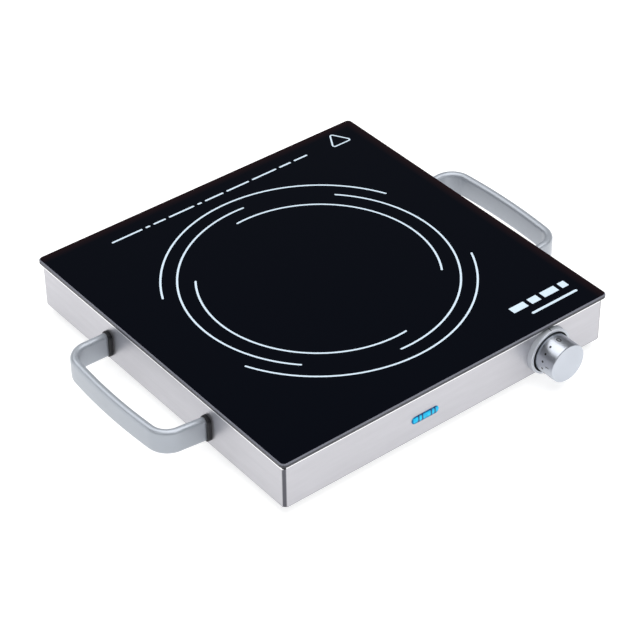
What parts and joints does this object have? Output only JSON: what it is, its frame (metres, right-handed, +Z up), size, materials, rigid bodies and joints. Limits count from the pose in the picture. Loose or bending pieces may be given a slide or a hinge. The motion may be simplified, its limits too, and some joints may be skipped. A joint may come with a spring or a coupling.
{
  "type": "tabletop electric cooktop",
  "caption": "Square tabletop electric cooktop: black glass plate on a low brushed steel body, a carry handle at each side and a rotary heat knob at the front.",
  "frame": {"origin": "on the table under the middle of the whole outline, knob and cord gland included", "axes": "+X to the right along the line of the two carry handles, -Y towards the user and the knob, +Z up through the glass"},
  "size_m": [0.3684, 0.3194, 0.048],
  "materials": {
    "glass": "polished black glass-ceramic, bevelled edge, pale printed rings",
    "silicone": "black silicone bead",
    "stainless": "fine brushed stainless sheet",
    "galvanised": "galvanised sheet with a faint spangle",
    "zinc_screw": "bright zinc plating",
    "foot_rubber": "matte black rubber",
    "handle_silver": "satin silver paint",
    "boot_black": "satin black heat-resistant plastic",
    "insulation": "matte mineral fibre board",
    "element_alloy": "oxidised resistance ribbon",
    "steatite": "unglazed steatite",
    "quartz": "clear quartz tube",
    "spring_steel": "spring steel strip",
    "bakelite": "dark brown phenolic",
    "brass": "bright brass",
    "copper_alloy": "copper alloy strip",
    "shaft_zinc": "turned zinc-plated steel",
    "white_plastic": "heat-resistant off-white plastic",
    "bezel_aluminium": "turned satin aluminium",
    "knob_aluminium": "turned satin aluminium with black marks",
    "liner_rubber": "matte black rubber",
    "black_plastic": "moulded black plastic",
    "lens_blue": "glossy translucent blue lens",
    "lamp_glass": "small neon lamp",
    "print_pale": "pale fired print on the glass",
    "print_black": "black printed marks on the knob",
    "wire_brown": "brown insulated conductor",
    "wire_blue": "blue insulated conductor",
    "wire_white": "braided glass-silk sleeve",
    "wire_green": "green and yellow insulated conductor"
  },
  "bodies": {
    "root": {"glass_top": "glass", "glass_seal": "silicone", "body_shell": "stainless", "base_plate": "galvanised", "base_screws": "zinc_screw", "foot_front_left": "foot_rubber", "foot_front_right": "foot_rubber", "foot_rear_left": "foot_rubber", "foot_rear_right": "foot_rubber", "foot_screws": "zinc_screw", "foot_nuts": "zinc_screw", "handle_left": "handle_silver", "handle_right": "handle_silver", "boot_left_front": "boot_black", "boot_left_rear": "boot_black", "boot_right_front": "boot_black", "boot_right_rear": "boot_black", "handle_screws": "zinc_screw", "handle_washers": "zinc_screw", "heater_dish": "galvanised", "heater_insulation": "insulation", "heater_wall_ring": "insulation", "heating_element": "element_alloy", "element_leads": "element_alloy", "element_terminals": "steatite", "limiter_rod": "quartz", "limiter_head": "steatite", "heater_springs": "spring_steel", "heat_shield": "galvanised", "regulator_bracket": "galvanised", "regulator_case": "bakelite", "regulator_cover": "bakelite", "regulator_tabs": "brass", "contact_blade": "copper_alloy", "bracket_screws": "zinc_screw", "knob_bezel": "bezel_aluminium", "knob_seal": "liner_rubber", "pilot_lens": "lens_blue", "pilot_holder": "white_plastic", "pilot_lamp": "lamp_glass", "gland_body": "black_plastic", "gland_seal": "liner_rubber", "gland_cap": "black_plastic", "gland_nut": "black_plastic", "terminal_block": "steatite", "terminal_screws": "zinc_screw", "earth_stud": "brass", "earth_nut": "brass", "wire_live": "wire_brown", "wire_neutral": "wire_blue", "wire_heater": "wire_white", "wire_earth": "wire_green"},
    "control_knob": {"knob_skin": "knob_aluminium", "knob_core": "black_plastic", "knob_clip": "spring_steel", "regulator_shaft": "shaft_zinc", "regulator_cam": "white_plastic"}
  },
  "joints": [
    {"name": "knob_turn", "type": "hinge", "parent": "root", "child": "control_knob", "pos_m": [0.0898, -0.1379, 0.0247], "axis": [0, 1, 0], "range_deg": [0, 262]}
  ]
}
